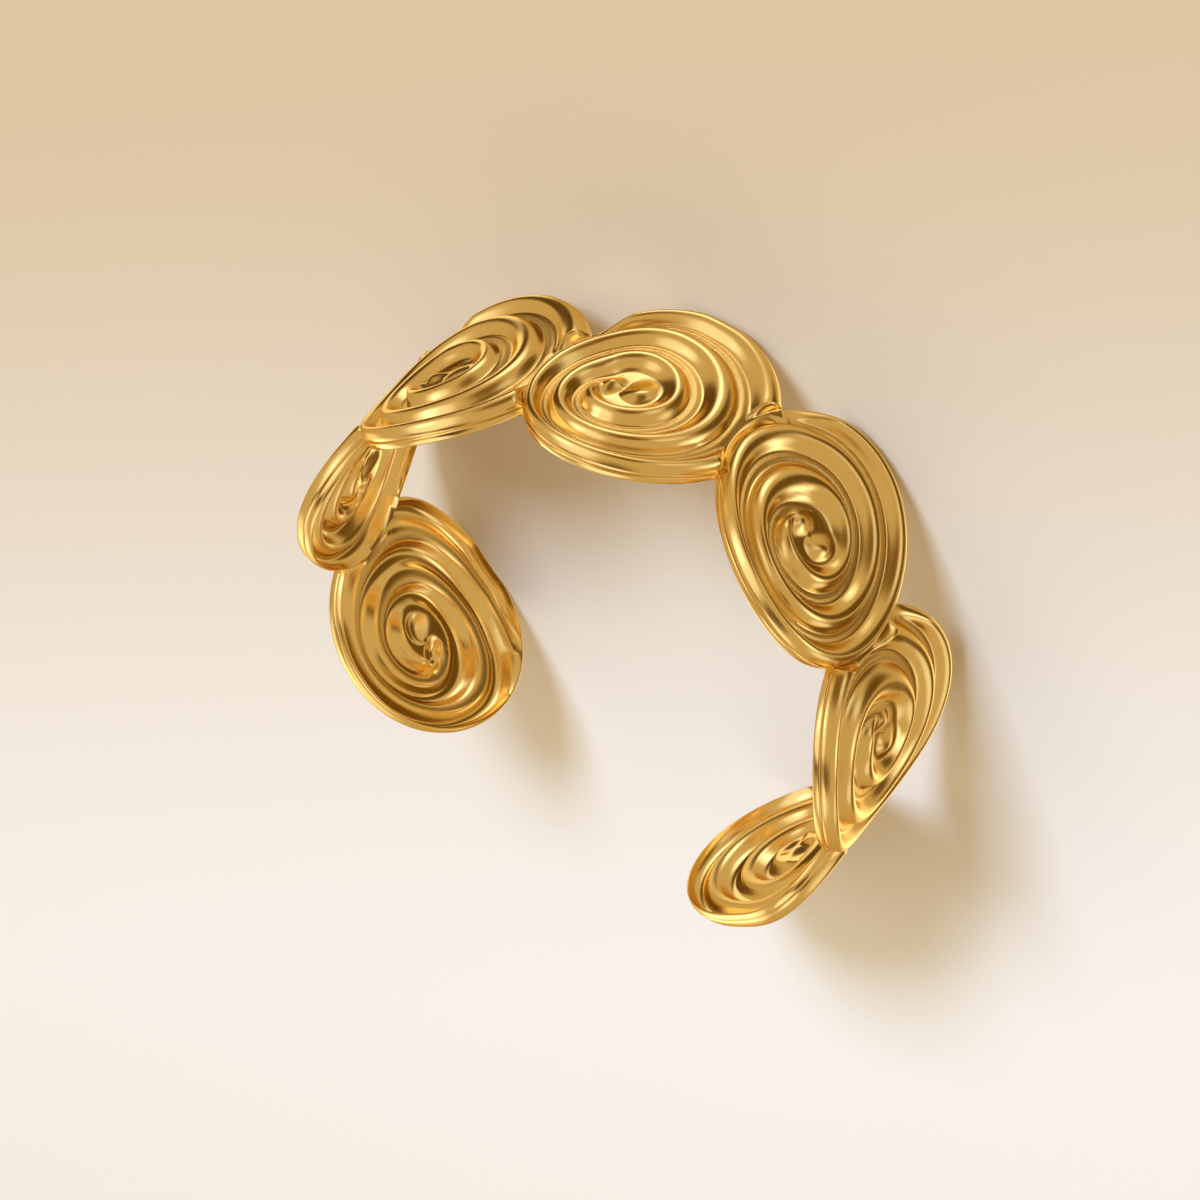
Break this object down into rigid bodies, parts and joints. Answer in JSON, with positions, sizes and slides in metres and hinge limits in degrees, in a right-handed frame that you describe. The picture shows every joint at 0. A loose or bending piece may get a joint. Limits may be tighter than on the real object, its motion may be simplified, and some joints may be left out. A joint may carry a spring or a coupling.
{
  "type": "open cuff bangle",
  "caption": "Open cuff bangle pressed from one gold-coloured sheet, a chain of overlapping oval discs raised in spiral coils, worn round the wrist.",
  "frame": {"origin": "on the surface that the cuff lies on, below the middle of its bounding box", "axes": "+Z is the wrist axis, up from the long rim that the cuff lies on; -Y is the way the middle disc faces; +Y is the way the gap faces"},
  "size_m": [0.0662, 0.065, 0.029],
  "materials": {
    "gold_plate": "warm gold plating on pressed stainless steel, satin on the raised coils, polished in the grooves, on the rims and inside"
  },
  "bodies": {
    "root": {"spiral_cuff": "gold_plate"}
  },
  "joints": []
}
